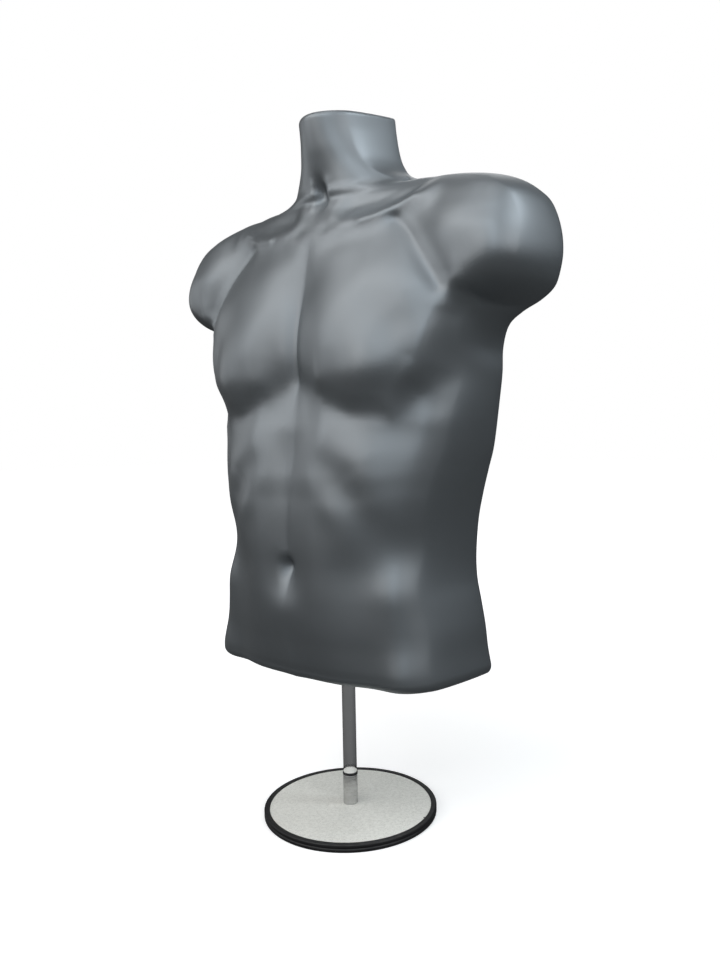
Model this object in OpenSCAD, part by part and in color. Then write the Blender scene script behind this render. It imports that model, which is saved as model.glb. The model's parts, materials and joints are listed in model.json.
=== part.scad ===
// Male torso display form: a thin hollow-back moulding that hangs on a two-part
// chromed pole over a round base. Millimetres, +Z up, the form faces -Y, and
// the origin is on the floor at the pole's axis.

/* [Form] */
// Width over the two upper-arm stubs
form_w = 496; // [450:2:530]
// Height from the bottom rim to the back corners of the neck
form_h = 613; // [580:1:660]
// Depth from the open back to the front of the belly
form_d = 154; // [146:1:170]
// Height of the bottom rim above the floor
form_bottom = 181; // [178:1:230]
// Wall thickness of the moulding
wall = 3; // [2.6:0.1:3.4]
// Distance from the pole's axis back to the open back
back_y = 48; // [45:1:52]
// Mesh rows between two neighbouring outline stations
row_density = 1.25; // [1:0.25:1.5]
// Mesh columns from the middle of the chest to one side
half_columns = 20; // [16:1:22]

/* [Base] */
// Diameter over the rubber edge
base_d = 203.2; // [180:0.2:240]
// Height of the rubber edge
trim_h = 9; // [8:0.5:10]
// Width of the rubber edge, seen from above
trim_w = 6.6; // [6:0.1:8]
// Thickness of the disc
disc_t = 7.5; // [7:0.5:9]

/* [Pole] */
// Diameter of the stub that stands on the base
stub_d = 17; // [16.6:0.2:18]
// Length of the stub
stub_h = 35; // [30:1:45]
// Outer diameter of the lower pole
pole_d = 16; // [15.6:0.1:16.4]
// Length of the lower pole
pole_h = 210; // [200:1:214]
// Diameter of the sliding rod
rod_d = 12; // [11.8:0.1:12]
// Longest useful height adjustment
travel = 120; // [80:1:120]

/* [Fasteners] */
// Diameter of the thumb knob
knob_d = 24; // [20:1:26]
// Thread diameter of the clamp screw and base bolt
clamp_d = 6; // [5:0.5:6]
// Thread diameter of the waist bar screws
bar_screw_d = 4; // [3:0.5:4]

/* [Hidden] */
$fn = 64;

GREY = [0.36, 0.39, 0.41];
OFF_WHITE = [0.80, 0.80, 0.77];
BLACK = [0.06, 0.06, 0.07];
CHROME = [0.86, 0.87, 0.88];
ZINC = [0.66, 0.67, 0.68];
NYLON = [0.90, 0.89, 0.85];
ABS_GREY = [0.45, 0.47, 0.49];

gap = 0.05;                       // radial running clearance
slip = 0.03;                      // radial clearance of parts that are fixed together
cut = 1;                          // how far a cutting shape runs past its part

// Heights of the stand
disc_bottom = 1.5;
disc_top = disc_bottom + disc_t;
stub_top = disc_top + stub_h;
ring_t = 3;
pole_bottom = stub_top + ring_t;
pole_top = pole_bottom + pole_h;
collar_h = 32;
collar_top = pole_top + 12;
collar_r = 14;
clamp_z = pole_top + 6;
bush_h = 18;
rod_foot_z = pole_bottom + 43;
rod_foot_h = 12;

// Heights of the form
k_w = form_w / 496;
k_h = form_h / 613;
k_d = form_d / 154;
ref_bottom = 181;
ref_top = 794;
function form_z(ref_z) = form_bottom + (ref_z - ref_bottom) * k_h;
form_top = form_z(ref_top);
bridge_z = form_z(738);
bridge_t = 6;
socket_bottom = bridge_z - 42;
washer_t = 2;
cap_flange_t = 4;
cap_bottom = socket_bottom - washer_t - cap_flange_t;
cap_r = 9;
cap_flange_r = 12;
cap_top = cap_bottom + 46;
rod_top = cap_top - 8;
bar_z = form_z(300);
bar_h = 22;
bar_y = 33;
bar_t = 3;

// ---- Surface of the form -------------------------------------------------
// The surface is a height field: the depth in front of the open back, as a
// function of x and z on the reference form (496 wide, 613 high, 154 deep).

// Half outline seen from the front: x, z, the height on the centre line from
// which that row of the mesh starts, and how far out the row turns towards it
OUTLINE = [
    [44, 788, 788, 0.78], [46, 772, 772, 0.78], [50, 752, 751, 0.78], [56, 737, 733, 0.8],
    [68, 724, 716, 0.85], [100, 713, 700, 0.9], [131, 709, 687, 0.93], [167, 704, 676, 0.93],
    [202, 694, 665, 0.88], [226, 677, 654, 0.82], [238, 662, 645, 0.78], [246, 639, 634, 0.78],
    [248, 616, 622, 0.78], [244, 595, 611, 0.8], [238, 583, 603, 0.88], [224, 573, 595, 0.95],
    [204, 564, 585, 0.97], [188, 552, 572, 0.95], [181, 530, 552, 0.85], [180, 505, 527, 0.78],
    [177, 480, 500, 0.78], [170, 431, 444, 0.78], [163, 405, 412, 0.78], [156, 379, 382, 0.78],
    [150, 350, 350, 0.78], [147, 314, 314, 0.78], [148, 287, 287, 0.78], [153, 262, 262, 0.78],
    [158, 236, 236, 0.78], [161, 212, 212, 0.78], [165, 192, 192, 0.78]];

// Trunk: half width, depth at the middle and squareness of the section by height
TRUNK_W = [[185, 167], [236, 160], [287, 150], [314, 149], [350, 152], [405, 165],
           [480, 179], [552, 186], [600, 190], [712, 200]];
TRUNK_D = [[185, 150], [201, 154], [227, 150], [269, 143], [310, 137], [374, 136],
           [404, 137], [449, 130], [470, 122], [500, 114], [555, 110], [600, 104],
           [629, 98], [660, 86], [684, 75], [695, 64], [705, 44], [712, 2]];
TRUNK_N = [[185, 3.0], [314, 2.8], [500, 2.8], [580, 2.7], [640, 2.1], [712, 2.0]];

// Neck: half width and depth by height
NECK_W = [[680, 111], [700, 91], [712, 77], [724, 67], [737, 58], [752, 52], [772, 47], [794, 45]];
NECK_D = [[680, 60], [700, 70], [712, 75], [724, 79], [737, 83], [752, 87], [772, 91], [794, 95]];

neck_slope = 0.13;                // the neck is cut lower at the front than at the back
rim_r = 6;                        // rounding of the neck's edge
hem_r = 11;                       // rounding of the bottom rim
hem_in = 14;                      // how far the bottom rim turns in at the front
hem_side = 8;                     // and at the sides
hem_flange = 6;                   // flat part of the turned-in rim
edge_r = 12;                      // rounding at the open back

function clamp(v, low, high) = min(max(v, low), high);
function smooth(v, from, to) = let(t = clamp((v - from) / (to - from), 0, 1)) t * t * (3 - 2 * t);
function soft_max(a, b, k) = (a + b + sqrt((a - b) * (a - b) + k * k)) / 2;
function power(t, n) = pow(max(abs(t), 1e-6), n);
function superarc(q, n) = pow(clamp(1 - q, 1e-9, 1), 1 / n);

// Smooth curve through the rows of a table whose first column rises
function segment(t, v, i = 0) = (i >= len(t) - 2 || v < t[i + 1][0]) ? i : segment(t, v, i + 1);
function tangent(t, i) =
    let(a = max(i - 1, 0), b = min(i + 1, len(t) - 1))
    (t[b][1] - t[a][1]) / (t[b][0] - t[a][0]);
function hermite(p, q, mp, mq, s) =
    p * (2 * s * s * s - 3 * s * s + 1) + mp * (s * s * s - 2 * s * s + s)
    + q * (3 * s * s - 2 * s * s * s) + mq * (s * s * s - s * s);
function curve(t, value) =
    let(v = clamp(value, t[0][0], t[len(t) - 1][0]), i = segment(t, v), h = t[i + 1][0] - t[i][0])
    hermite(t[i][1], t[i + 1][1], h * tangent(t, i), h * tangent(t, i + 1), (v - t[i][0]) / h);

// Smooth run along the outline stations
function station(v) =
    let(last = len(OUTLINE) - 1, i = min(floor(v), last - 1),
        p = OUTLINE[i], q = OUTLINE[i + 1],
        mp = i == 0 ? q - p : (q - OUTLINE[i - 1]) / 2,
        mq = i + 1 == last ? q - p : (OUTLINE[i + 2] - p) / 2)
    hermite(p, q, mp, mq, v - i);

function trunk_depth(x, z) =
    let(n = curve(TRUNK_N, z), t = clamp(x / curve(TRUNK_W, z), 0, 1))
    curve(TRUNK_D, z) * superarc(power(t, n), n);

function neck_depth(x, z) =
    let(t = x / curve(NECK_W, z), low = 60 * smooth(z, 705, 660))
    (t < 1 ? curve(NECK_D, z) * superarc(power(t, 2), 2.2) : -40 * (t - 1)) - low;

arm_at = [165, 625];              // middle of the upper arm, seen from the front
function arm_depth(x, z) =
    let(up = smooth(z, 600, 650),
        out = power(max(x - arm_at[0], 0) / 85, 3.5 - 1.3 * up),
        along = power((z - arm_at[1]) / (z > arm_at[1] ? 81 : 58), 2.8 - 0.6 * up),
        q = out + along + 0.3 * power(max(arm_at[0] - x, 0) / 60, 1.6),
        m = 2.2 - 0.5 * up - 0.5 * (1 - up) * along / (out + along + 0.05),
        inner = smooth(x, 40, 90))
    (q < 1 ? 81 * superarc(q, m) : -40 * (q - 1)) * inner - 60 * (1 - inner);

chest_at = [78, 536];             // fullest place of the chest muscle
function chest_depth(x, z) =
    let(dx = x - chest_at[0], dz = z - 0.09 * dx - chest_at[1])
    138 - 49 * ((dx < 0 ? power(dx / 93, 4.6) : power(dx / 86, 2.7))
                + (dz > 0 ? power(dz / 90, 1.9) : power(dz / 69, 2)));

// Ridges and furrows: height, width, the points they run through
RIDGES = [
    // collar bone
    [6.5, 15, [[29, 662], [55, 664], [81, 667], [105, 673], [131, 682]]],
    // hollow above the collar bone
    [-6, 13, [[44, 680], [78, 680], [104, 683], [126, 692]]],
    // valley between chest and shoulder
    [-4, 16, [[112, 658], [131, 638], [147, 616], [160, 598], [170, 582]]],
    // fold under the chest muscle
    [-3, 10, [[44, 482], [79, 468], [109, 466], [139, 484]]],
    // furrow between the chest muscles
    [-1.5, 10, [[0, 639], [0, 499]]],
    // furrow down the belly
    [-1.5, 10, [[0, 476], [0, 328]]],
    // soft rise along it
    [3.5, 21, [[0, 469], [0, 329]]],
    // edge of the rib arch
    [4.5, 22, [[57, 436], [93, 414], [105, 380]]],
    // hip bone
    [7, 31, [[139, 242], [136, 188]]],
    // outer lower edge of the chest muscle
    [5, 10, [[120, 472], [152, 512], [166, 562]]],
    // side between ribs and hip
    [3.5, 16, [[151, 452], [141, 382]]],
    // sharp edge of the chest muscle
    [-3, 6, [[103, 658], [122, 638], [139, 616], [152, 598], [162, 583]]],
    // sharp edge of the collar bone
    [2, 5, [[66, 661], [84, 663], [102, 669], [122, 679]]],
    // crease above it
    [-1.5, 5, [[60, 671], [84, 673], [102, 679], [120, 689]]],
    // rims of the throat
    [1, 5, [[11, 690], [11, 712]]]];

// Rounded rises and hollows: height, middle, size and turn in degrees
SPOTS = [
    // inner end of the collar bone
    [-3.5, [24, 661], [12, 9], 0],
    // slope from neck to shoulder
    [3, [26, 695], [18, 21], 20],
    // upper chest
    [4.5, [51, 618], [41, 28], 10],
    // hollow over the chest muscle
    [-9, [110, 562], [29, 35], 0],
    // lower part of the chest muscle
    [16, [87, 486], [44, 29], 8],
    // its inner side
    [-5.5, [25, 529], [19, 36], 0],
    // its outer side
    [-6, [130, 541], [19, 29], -20],
    // armpit, front
    [15.5, [183, 577], [19, 13], 0],
    // side of the back
    [-14, [174, 514], [16, 34], 0],
    // top of the rib arch
    [-2.5, [82, 458], [35, 13], -12],
    // side of the ribs
    [-4.5, [134, 450], [25, 30], 0],
    // belly pad below the ribs
    [5, [68, 366], [18, 31], 38],
    // hollow beside the middle of the belly
    [-6, [5, 420], [16, 43], 0],
    // rise below the pads
    [3.5, [76, 334], [20, 24], 0],
    // lower belly pad
    [11.5, [42, 331], [31, 77], 0],
    // waist
    [6, [137, 358], [33, 25], 0],
    // muscle above the hip bone
    [12, [130, 284], [25, 30], 0],
    // groin
    [-6, [115, 238], [73, 43], 0],
    // belly under the navel
    [3.5, [0, 260], [24, 20], 0],
    // lowest belly
    [-16, [28, 190], [76, 38], 0],
    // side of the lowest belly
    [-10, [101, 194], [32, 39], 0],
    // front of the shoulder
    [5.5, [177, 631], [27, 35], 0],
    // outer shoulder
    [15, [225, 638], [34, 60], 0],
    // top of the shoulder
    [3.5, [178, 684], [74, 14], -10],
    // lower end of the shoulder muscle
    [10.5, [188, 587], [32, 20], 0],
    // inner lower corner of the chest muscle
    [5, [47, 490], [17, 25], 0],
    // underside of the arm stub
    [-3.5, [201, 577], [34, 9], 0],
    // breast bone
    [5.5, [0, 653], [24, 24], 0],
    // throat
    [-9, [0, 702], [7, 13], 0],
    // lower rim of the throat
    [3, [0, 694], [4, 6], 0],
    // navel
    [-9, [0, 303], [8, 12], 0]];

// 1 on a line through points, fading over a width
function off_line(p, a, b) =
    let(v = b - a, t = clamp(((p - a) * v) / (v * v), 0, 1))
    norm(p - a - t * v);
function ridge(p, points, width) =
    exp(-pow(min([for (i = [0:len(points) - 2]) off_line(p, points[i], points[i + 1])]) / width, 2));

// 1 in the middle of a turned oval, fading over its size
function spot(p, at, size, turn) =
    let(d = p - at, c = cos(turn), s = sin(turn))
    exp(-pow((d[0] * c + d[1] * s) / size[0], 2) - pow((d[1] * c - d[0] * s) / size[1], 2));

function total(v, i = 0) = i >= len(v) ? 0 : v[i] + total(v, i + 1);
function detail(x, z) =
    total([for (r = RIDGES) r[0] * ridge([x, z], r[2], r[1])])
    + total([for (s = SPOTS) s[0] * spot([x, z], s[1], s[2], s[3])]);

function ref_depth(x, z) =
    soft_max(soft_max(soft_max(trunk_depth(x, z), neck_depth(x, z), 20), arm_depth(x, z), 20),
             chest_depth(x, z), 15)
    + detail(x, z);

least_depth = 14;                 // just inside the open back's edge

// Rounds the surface off to the open back's plane at a distance from its edge
function back_edge(distance) = superarc(power(max(1 - distance / edge_r, 0), 2.2), 2.2);

// One point of the outer skin: v runs along the outline, u from side to side
function skin_point(v, u) =
    let(st = station(v), t = abs(sin(90 * u)), turn = [st[3] * st[0], st[2]],
        p = 2 * t * (1 - t) * turn + t * t * [st[0], st[1]] + [0, (1 - t) * (1 - t) * st[2]],
        d = t > 0.9999 ? 0 : soft_max(ref_depth(p[0], p[1]), least_depth, 8)
                             * back_edge(norm(p - [st[0], st[1]])),
        drop = neck_slope * d * smooth(p[1], 715, 788))
    [sign(u) * p[0], d, p[1] - drop];

columns = 2 * half_columns;
function row(v) = [for (i = [0:columns]) skin_point(v, i / half_columns - 1)];

// A row drawn in towards the middle of the back by the factors fx and fd
function drawn_in(r, fx, fd) = [for (p = r) [p[0] * fx, p[1] * fd, p[2]]];
function on_neck_plane(r, lower) = [for (p = r) [p[0], p[1], ref_top - lower - neck_slope * p[1]]];

last_station = len(OUTLINE) - 1;
neck_row = row(0);
hem_row = row(last_station);
neck_half = neck_row[columns][0];
neck_front = neck_row[half_columns][1];
hem_z = OUTLINE[last_station][1];

function neck_ring(inset, lower) =
    on_neck_plane(drawn_in(neck_row, 1 - inset / neck_half, 1 - inset / neck_front), lower);
function hem_ring(angle) =
    let(k = 1 - cos(angle))
    [for (p = hem_row) [p[0] * (1 - hem_side * k / hem_row[columns][0]),
                        p[1] * (1 - hem_in * k / hem_row[half_columns][1]),
                        p[2] - (hem_z - ref_bottom) * sin(angle)]];

cap_rings = [for (f = [0.3, 0.6, 0.85])
             on_neck_plane(drawn_in(neck_row, f * (1 - rim_r / neck_half),
                                    f * (1 - rim_r / neck_front)), 0)];
rim_rings = [for (a = [0, 30, 60]) neck_ring(rim_r * (1 - sin(a)), rim_r * (1 - cos(a)))];
side_rings = [for (i = [0:round(last_station * row_density)]) row(min(i / row_density, last_station))];
hem_rings = [for (a = [30, 60, 90]) hem_ring(a)];
flange_ring = [for (p = hem_ring(90)) [p[0] * (1 - hem_flange / 157), p[1] * (1 - hem_flange / 136), p[2]]];
rings = concat(cap_rings, rim_rings, side_rings, hem_rings, [flange_ring]);
tip = [0, 0, ref_top];            // where the neck's top meets the open back
ring_count = len(rings);

// Reference form to part: sizes scaled, y measured from the open back
function place(p) = [p[0] * k_w, back_y - p[1] * k_d, form_z(p[2])];
outer = [for (r = rings) [for (p = r) place(p)]];

function ring_at(i) = outer[clamp(i, 0, ring_count - 1)];
function normal_at(i, j) =
    let(across = ring_at(i)[min(j + 1, columns)] - ring_at(i)[max(j - 1, 0)],
        down = ring_at(i + 1)[j] - ring_at(i - 1)[j],
        n = cross(across, down))
    n / max(norm(n), 1e-9);

// One point of the inner skin: a wall's thickness inwards, on the open back's
// plane where the outer point is on it
function inner_point(i, j) =
    let(p = outer[i][j], n = normal_at(i, j), edge = j == 0 || j == columns,
        flat = norm([n[0], n[2]]), m = edge ? [n[0] / flat, 0, n[2] / flat] : n,
        q = p + wall * m)
    [q[0], edge ? back_y : min(q[1], back_y), q[2]];
inner = [for (i = [0:ring_count - 1]) [for (j = [0:columns]) inner_point(i, j)]];

stride = columns + 1;
outer_tip = ring_count * 2 * stride;
function quad(a, b, c, d) = [[a, b, c], [a, c, d]];
function at(skin, i, j) = (skin * ring_count + i) * stride + j;

module torso_shell() {
    points = concat([for (r = outer) each r], [for (r = inner) each r],
                    [place(tip), place(tip) - [0, 0, wall]]);
    skins = [for (i = [0:ring_count - 2]) for (j = [0:columns - 1])
             each concat(quad(at(0, i, j), at(0, i, j + 1), at(0, i + 1, j + 1), at(0, i + 1, j)),
                         quad(at(1, i, j), at(1, i + 1, j), at(1, i + 1, j + 1), at(1, i, j + 1)))];
    caps = [for (j = [0:columns - 1])
            each [[outer_tip, at(0, 0, j + 1), at(0, 0, j)], [outer_tip + 1, at(1, 0, j), at(1, 0, j + 1)]]];
    back_edges = [for (i = [0:ring_count - 2])
                  each concat(quad(at(0, i, 0), at(0, i + 1, 0), at(1, i + 1, 0), at(1, i, 0)),
                              quad(at(0, i, columns), at(1, i, columns),
                                   at(1, i + 1, columns), at(0, i + 1, columns)))];
    hem = [for (j = [0:columns - 1])
           each quad(at(0, ring_count - 1, j), at(0, ring_count - 1, j + 1),
                     at(1, ring_count - 1, j + 1), at(1, ring_count - 1, j))];
    top_edges = concat(quad(outer_tip, at(0, 0, 0), at(1, 0, 0), outer_tip + 1),
                       quad(outer_tip, outer_tip + 1, at(1, 0, columns), at(0, 0, columns)));
    color(GREY)
        polyhedron(points, concat(skins, caps, back_edges, hem, top_edges), convexity = 8);
}

// ---- Stand ---------------------------------------------------------------

disc_r = base_d / 2 - 3;
crown = 1.2;                      // how much higher the disc is at its middle

module base_disc() {
    color(OFF_WHITE)
        difference() {
            rotate_extrude($fn = 128)
                polygon([[0, disc_bottom], [disc_r, disc_bottom], [disc_r, disc_top - crown - 0.8],
                         [disc_r - 0.8, disc_top - crown], [disc_r * 0.7, disc_top - crown * 0.45],
                         [disc_r * 0.35, disc_top], [0, disc_top]]);
            translate([0, 0, -cut])
                cylinder(r = clamp_d / 2 + 0.2, h = disc_top + 2 * cut);
            translate([0, 0, -cut])
                cylinder(r = 9, h = disc_bottom + 4.5 + cut);
        }
}

// A rubber channel around the disc's edge, with a groove between two ribs
module base_trim() {
    r = base_d / 2;
    inner_r = r - trim_w;
    lip = disc_top - crown + 0.15;
    color(BLACK)
        rotate_extrude($fn = 128)
            polygon([[inner_r, 0], [r - 1.2, 0], [r, 1.2], [r, 3.2], [r - 0.9, 3.8], [r - 0.9, 5.2],
                     [r, 5.8], [r, trim_h - 1.2], [r - 1.2, trim_h], [inner_r + 1, trim_h],
                     [inner_r, trim_h - 0.6], [inner_r, lip], [disc_r + slip, lip],
                     [disc_r + slip, disc_bottom - slip], [inner_r, disc_bottom - slip]]);
}

module base_washer() {
    color(ZINC)
        translate([0, 0, disc_bottom + 3.3])
            difference() {
                cylinder(r = 8, h = 1.2);
                translate([0, 0, -cut])
                    cylinder(r = clamp_d / 2 + 0.2, h = 1.2 + 2 * cut);
            }
}

module base_bolt() {
    color(ZINC)
        difference() {
            union() {
                translate([0, 0, disc_bottom])
                    cylinder(r = 5.5, h = 3.3);
                translate([0, 0, disc_bottom + 3])
                    cylinder(r = clamp_d / 2, h = disc_t + 10);
            }
            translate([0, 0, disc_bottom - cut])
                cylinder(r = 2.3, h = 2 + cut, $fn = 6);
        }
}

stud_r = 5;
module post_stub() {
    color(ZINC)
        difference() {
            rotate_extrude()
                polygon([[0, disc_top], [stub_d / 2, disc_top], [stub_d / 2, stub_top - 0.8],
                         [stub_d / 2 - 0.8, stub_top], [0, stub_top]]);
            translate([0, 0, disc_top - cut])
                cylinder(r = clamp_d / 2 + slip, h = 14 + cut);
            translate([0, 0, stub_top - 14])
                cylinder(r = stud_r + slip, h = 14 + cut);
        }
}

module joint_stud() {
    color(ZINC)
        translate([0, 0, stub_top - 13])
            cylinder(r = stud_r, h = 31);
}

module joint_ring() {
    r = stub_d / 2 + 0.3;
    color(BLACK)
        difference() {
            rotate_extrude()
                polygon([[0, stub_top], [r - 0.6, stub_top], [r, stub_top + 0.6],
                         [r, pole_bottom - 0.6], [r - 0.6, pole_bottom], [0, pole_bottom]]);
            translate([0, 0, stub_top - cut])
                cylinder(r = stud_r + gap, h = ring_t + 2 * cut);
        }
}

pole_bore = pole_d / 2 - 1;
module tube(r_out, r_in, z0, h) {
    translate([0, 0, z0])
        difference() {
            cylinder(r = r_out, h = h);
            translate([0, 0, -cut])
                cylinder(r = r_in, h = h + 2 * cut);
        }
}

module pole_insert() {
    color(ZINC)
        tube(pole_bore - slip, stud_r + slip, pole_bottom, 22);
}

module lower_pole() {
    color(CHROME)
        tube(pole_d / 2, pole_bore, pole_bottom, pole_h);
}

module guide_bush() {
    color(NYLON)
        tube(pole_bore - slip, rod_d / 2 + gap, pole_top - bush_h, bush_h);
}

// The collar sits on the pole's top end; its upper bore is the rod's
module height_collar() {
    color(BLACK)
        difference() {
            translate([0, 0, collar_top - collar_h])
                rotate_extrude()
                    polygon([[0, 0], [collar_r - 1, 0], [collar_r, 1], [collar_r, collar_h - 1],
                             [collar_r - 1, collar_h], [0, collar_h]]);
            translate([0, 0, collar_top - collar_h - cut])
                cylinder(r = pole_d / 2 + slip, h = collar_h - 12 + cut);
            cylinder(r = rod_d / 2 + gap, h = collar_top + cut);
            radial(clamp_z)
                cylinder(r = clamp_d / 2 + slip, h = collar_r + cut);
            radial(collar_top - collar_h + 8)
                cylinder(r = 2 + slip, h = collar_r + cut);
        }
}

// Turns +Z to +Y, at height z
module radial(z) {
    translate([0, 0, z])
        rotate([-90, 0, 0])
            children();
}

module collar_grub_screw() {
    color(ZINC)
        radial(collar_top - collar_h + 8)
            translate([0, 0, pole_d / 2 + gap])
                difference() {
                    cylinder(r = 2, h = 5.5);
                    translate([0, 0, 3.5])
                        cylinder(r = 1, h = 2 + cut, $fn = 6);
                }
}

knob_y = collar_r + 4;
module clamp_screw() {
    color(ZINC)
        radial(clamp_z)
            translate([0, 0, rod_d / 2 + gap])
                cylinder(r = clamp_d / 2, h = knob_y + 8 - rod_d / 2 - gap);
}

knob_lobes = 7;
module thumb_knob() {
    color(BLACK)
        radial(clamp_z)
            translate([0, 0, knob_y])
                difference() {
                    union() {
                        cylinder(r = knob_d / 2 - 3.5, h = 11);
                        cylinder(r = 6, h = 13);
                        for (i = [0:knob_lobes - 1])
                            rotate(i * 360 / knob_lobes)
                                translate([knob_d / 2 - 3.5, 0, 1])
                                    cylinder(r = 3.5, h = 9);
                    }
                    translate([0, 0, -cut])
                        cylinder(r = clamp_d / 2 + gap, h = 8 + gap + cut);
                }
}

module inner_rod() {
    z0 = rod_foot_z + rod_foot_h;
    color(CHROME)
        tube(rod_d / 2, rod_d / 2 - 1, z0, rod_top - z0);
}

module rod_foot() {
    color(NYLON)
        union() {
            translate([0, 0, rod_foot_z])
                cylinder(r = pole_bore - gap - slip, h = rod_foot_h);
            translate([0, 0, rod_foot_z])
                cylinder(r = rod_d / 2 - 1 - slip, h = rod_foot_h + 15);
        }
}

module rod_cap() {
    color(NYLON)
        difference() {
            union() {
                translate([0, 0, cap_bottom])
                    cylinder(r = cap_flange_r, h = cap_flange_t);
                translate([0, 0, cap_bottom])
                    rotate_extrude()
                        polygon([[0, 0], [cap_r, 0], [cap_r, 44], [cap_r - 2, 46], [0, 46]]);
            }
            translate([0, 0, cap_bottom - cut])
                cylinder(r = rod_d / 2 + slip, h = rod_top - cap_bottom + cut);
        }
}

module thrust_washer() {
    color(BLACK)
        tube(cap_flange_r, cap_r + gap, socket_bottom - washer_t, washer_t);
}

// ---- What the form hangs on ----------------------------------------------

// The bridge fills the neck's section, its edge let into the wall
neck_section = [for (p = row(2.5)) [p[0] * k_w, back_y - p[1] * k_d]];
module neck_bridge() {
    color(ABS_GREY)
        translate([0, 0, bridge_z])
            linear_extrude(bridge_t)
                difference() {
                    intersection() {
                        offset(delta = -0.8 * wall)
                            polygon(neck_section);
                        translate([-100, -100])
                            square([200, 100 + back_y - 8]);
                    }
                    circle(r = cap_flange_r + slip);
                    for (i = [0:3])
                        rotate(45 + 90 * i)
                            translate([18.5, 0])
                                circle(r = 1.5);
                }
}

module neck_socket() {
    h = bridge_z + bridge_t - socket_bottom;
    color(ABS_GREY)
        difference() {
            union() {
                translate([0, 0, socket_bottom])
                    cylinder(r = cap_flange_r, h = h);
                translate([0, 0, bridge_z + bridge_t])
                    cylinder(r = 22, h = 3);
            }
            translate([0, 0, socket_bottom - cut])
                cylinder(r = cap_r + gap, h = h + 3 + 2 * cut);
            for (i = [0:3])
                rotate(45 + 90 * i)
                    translate([18.5, 0, bridge_z])
                        cylinder(r = 1.6, h = bridge_t + 3 + cut);
        }
}

// Pan-head screw along +Z, its head's underside at 0
module pan_screw(d, length, head_r, head_h) {
    difference() {
        union() {
            translate([0, 0, -length])
                cylinder(r = d / 2 - slip, h = length + head_h / 2);
            rotate_extrude()
                polygon([[0, 0], [head_r, 0], [head_r, head_h * 0.5], [head_r * 0.72, head_h], [0, head_h]]);
        }
        for (a = [0, 90])
            rotate(a)
                translate([-head_r * 0.55, -0.4, head_h * 0.45])
                    cube([head_r * 1.1, 0.8, head_h]);
    }
}

module socket_screws() {
    color(ZINC)
        for (i = [0:3])
            rotate(45 + 90 * i)
                translate([18.5, 0, bridge_z + bridge_t + 3])
                    pan_screw(3, 8, 2.8, 2);
}

// Where the waist bar's ends are held, against the inside of the shell
block_out = (curve([for (s = [25, 26, 27]) [s, OUTLINE[s][0]]], 25.5)) * k_w - wall + 1;
block_in = block_out - 16;
screw_x = block_out - 8;
block_y = 20;

module bar_blocks() {
    color(ABS_GREY)
        for (side = [-1, 1])
            difference() {
                translate([side > 0 ? block_in : -block_out, block_y, bar_z - 11])
                    cube([16, bar_y - block_y, 22]);
                translate([side * screw_x, 0, 0])
                    radial(bar_z)
                        translate([0, 0, block_y + 3])
                            cylinder(r = bar_screw_d / 2, h = bar_y);
            }
}

module waist_bar() {
    length = 2 * (screw_x + 6);
    color(ZINC)
        difference() {
            translate([-length / 2, bar_y, bar_z - bar_h / 2])
                cube([length, bar_t, bar_h]);
            for (x = [-screw_x, -15, 15, screw_x])
                translate([x, 0, 0])
                    radial(bar_z)
                        cylinder(r = bar_screw_d / 2 + 0.2, h = bar_y + bar_t + cut);
        }
}

module bar_screws() {
    color(ZINC)
        for (side = [-1, 1])
            translate([side * screw_x, 0, 0])
                radial(bar_z)
                    translate([0, 0, bar_y + bar_t + 1])
                        pan_screw(bar_screw_d, 13, 3.9, 2.6);
}

module bar_washers() {
    color(ZINC)
        for (side = [-1, 1])
            translate([side * screw_x, 0, 0])
                radial(bar_z)
                    tube(4.5, bar_screw_d / 2 + 0.2, bar_y + bar_t, 1);
}

guide_r = 15;                     // wide enough to lift off over the rod's cap
guide_h = 16;
module guide_ring() {
    color(ABS_GREY)
        difference() {
            union() {
                translate([0, 0, bar_z - guide_h / 2])
                    cylinder(r = guide_r + 4, h = guide_h);
                translate([-8, guide_r, bar_z - guide_h / 2])
                    cube([16, bar_y - guide_r, guide_h]);
                translate([-22, bar_y - 4, bar_z - bar_h / 2])
                    cube([44, 4, bar_h]);
            }
            translate([0, 0, bar_z - guide_h])
                cylinder(r = guide_r, h = 2 * guide_h);
            for (x = [-15, 15])
                translate([x, 0, 0])
                    radial(bar_z)
                        translate([0, 0, guide_r + 5])
                            cylinder(r = bar_screw_d / 2, h = bar_y);
        }
}

module guide_screws() {
    color(ZINC)
        for (x = [-15, 15])
            translate([x, 0, 0])
                radial(bar_z)
                    translate([0, 0, bar_y + bar_t])
                        pan_screw(bar_screw_d, 6.5, 3.9, 2.6);
}

base_disc();
base_trim();
base_washer();
base_bolt();
post_stub();
joint_stud();
joint_ring();
pole_insert();
lower_pole();
guide_bush();
height_collar();
collar_grub_screw();
clamp_screw();
thumb_knob();
inner_rod();
rod_foot();
rod_cap();
thrust_washer();
torso_shell();
neck_bridge();
neck_socket();
socket_screws();
bar_blocks();
waist_bar();
bar_screws();
bar_washers();
guide_ring();
guide_screws();
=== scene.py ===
"""Looks of the male torso display form: smooth moulding, chromed pole and round base."""
import json
import math

import bpy
import numpy as np
from mathutils import Matrix, Vector


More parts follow.
